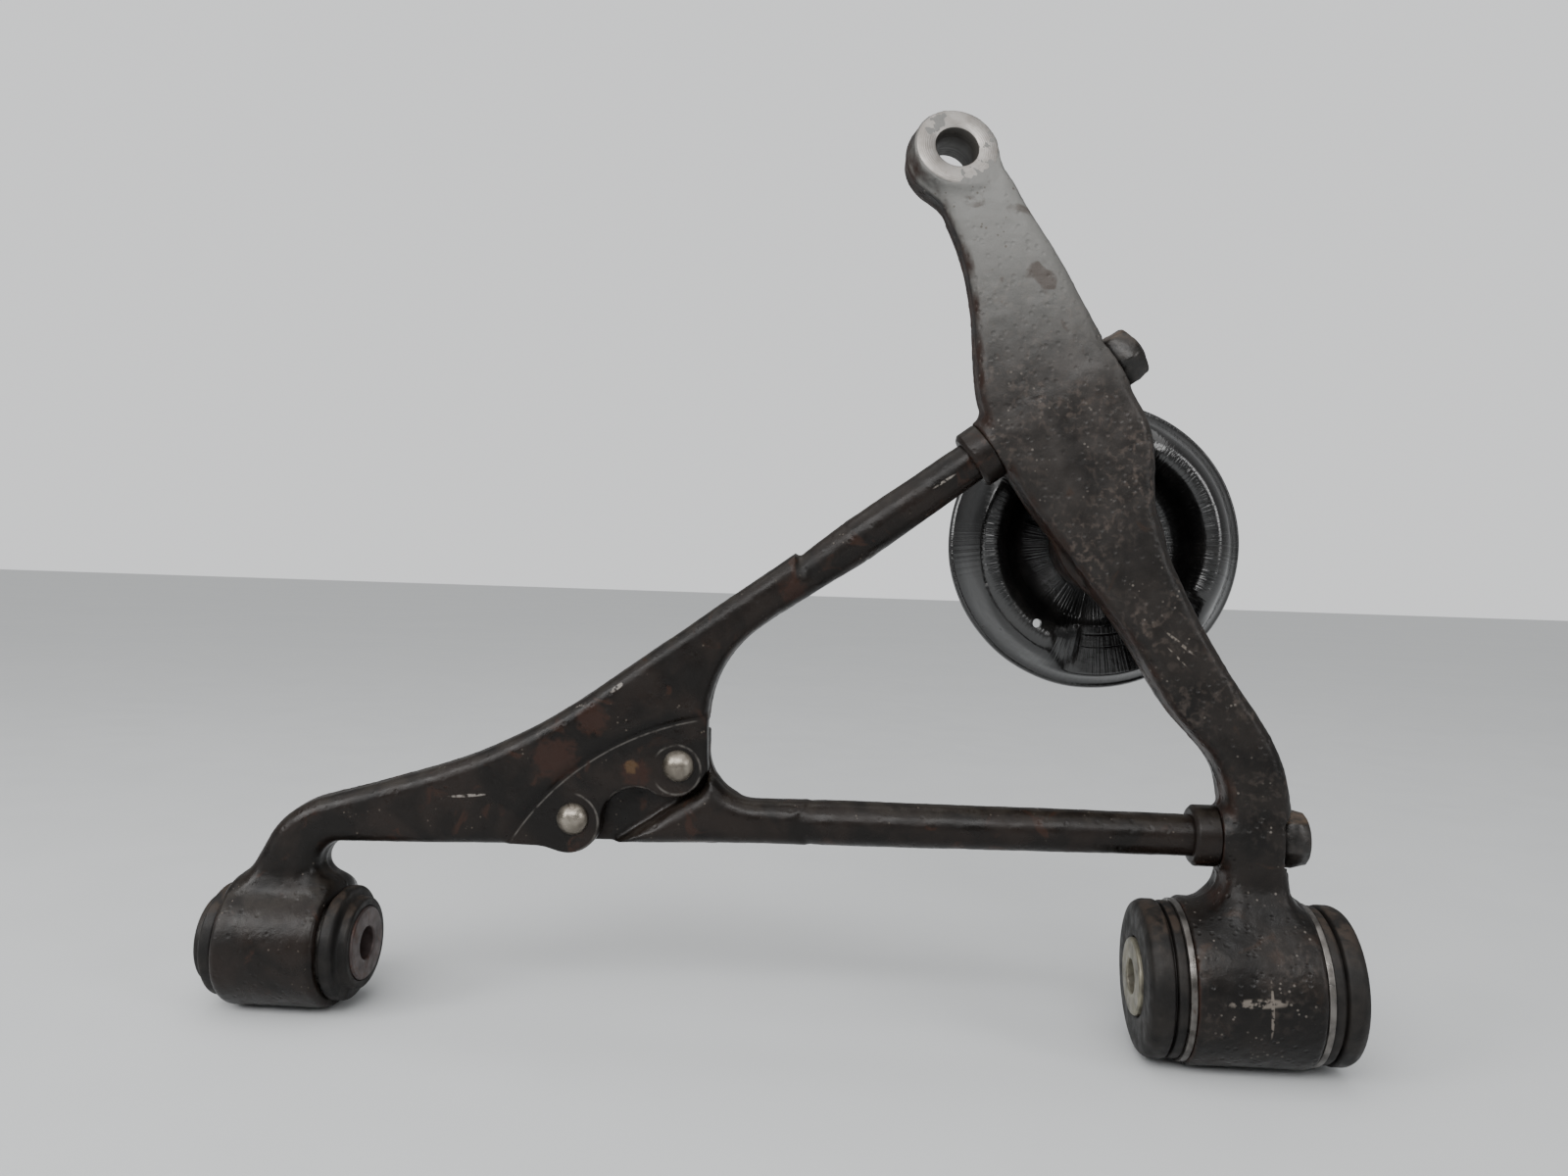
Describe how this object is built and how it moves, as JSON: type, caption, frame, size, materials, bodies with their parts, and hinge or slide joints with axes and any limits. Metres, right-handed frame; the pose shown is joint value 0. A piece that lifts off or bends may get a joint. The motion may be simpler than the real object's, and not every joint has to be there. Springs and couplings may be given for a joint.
{
  "type": "suspension control arm",
  "caption": "Forged lower control arm with a riveted brace, two rubber pivot bushes, a ball joint eye and a dished coil spring seat.",
  "frame": {"origin": "on the pivot axis, at the middle of the rear bush", "axes": "+X along the pivot axis from the front bush to the rear bush, +Z in the plane of the arm from the pivot axis towards the ball joint eye, +Y towards the side on which the coil spring stands"},
  "size_m": [0.559, 0.0875, 0.4532],
  "materials": {
    "forged_arm": "thin black paint over rough forged steel, dusty and lightly rusted",
    "forged_brace": "worn satin black paint over forged steel",
    "zinc_rivet": "dull zinc",
    "dark_nut": "dark oily steel with brown stains",
    "pressed_seat": "glossy black paint on pressed sheet",
    "bush_shell": "dark oily steel",
    "bush_rubber": "black rubber",
    "sleeve_steel": "brown stained steel",
    "core_steel": "yellowish zinc plate"
  },
  "bodies": {
    "pivot_cores": {"front_bush_sleeve": "sleeve_steel", "rear_bush_core_left": "core_steel", "rear_bush_core_right": "core_steel"},
    "arm": {"main_arm": "forged_arm", "brace_eye_link": "forged_brace", "brace_lower_rod": "forged_brace", "brace_rivet_one": "zinc_rivet", "brace_rivet_two": "zinc_rivet", "upper_rod_nut": "dark_nut", "lower_rod_nut": "dark_nut", "spring_seat": "pressed_seat", "spring_seat_bolts": "dark_nut", "front_bush_shell": "bush_shell", "front_bush_rubber": "bush_rubber", "rear_bush_shell_left": "bush_shell", "rear_bush_shell_right": "bush_shell", "rear_bush_rubber_left": "bush_rubber", "rear_bush_rubber_right": "bush_rubber"}
  },
  "joints": [
    {"name": "arm_swing", "type": "hinge", "parent": "pivot_cores", "child": "arm", "pos_m": [0, 0, 0], "axis": [1, 0, 0], "range_deg": [-25, 25], "stiffness_Nm_per_rad": 150}
  ]
}
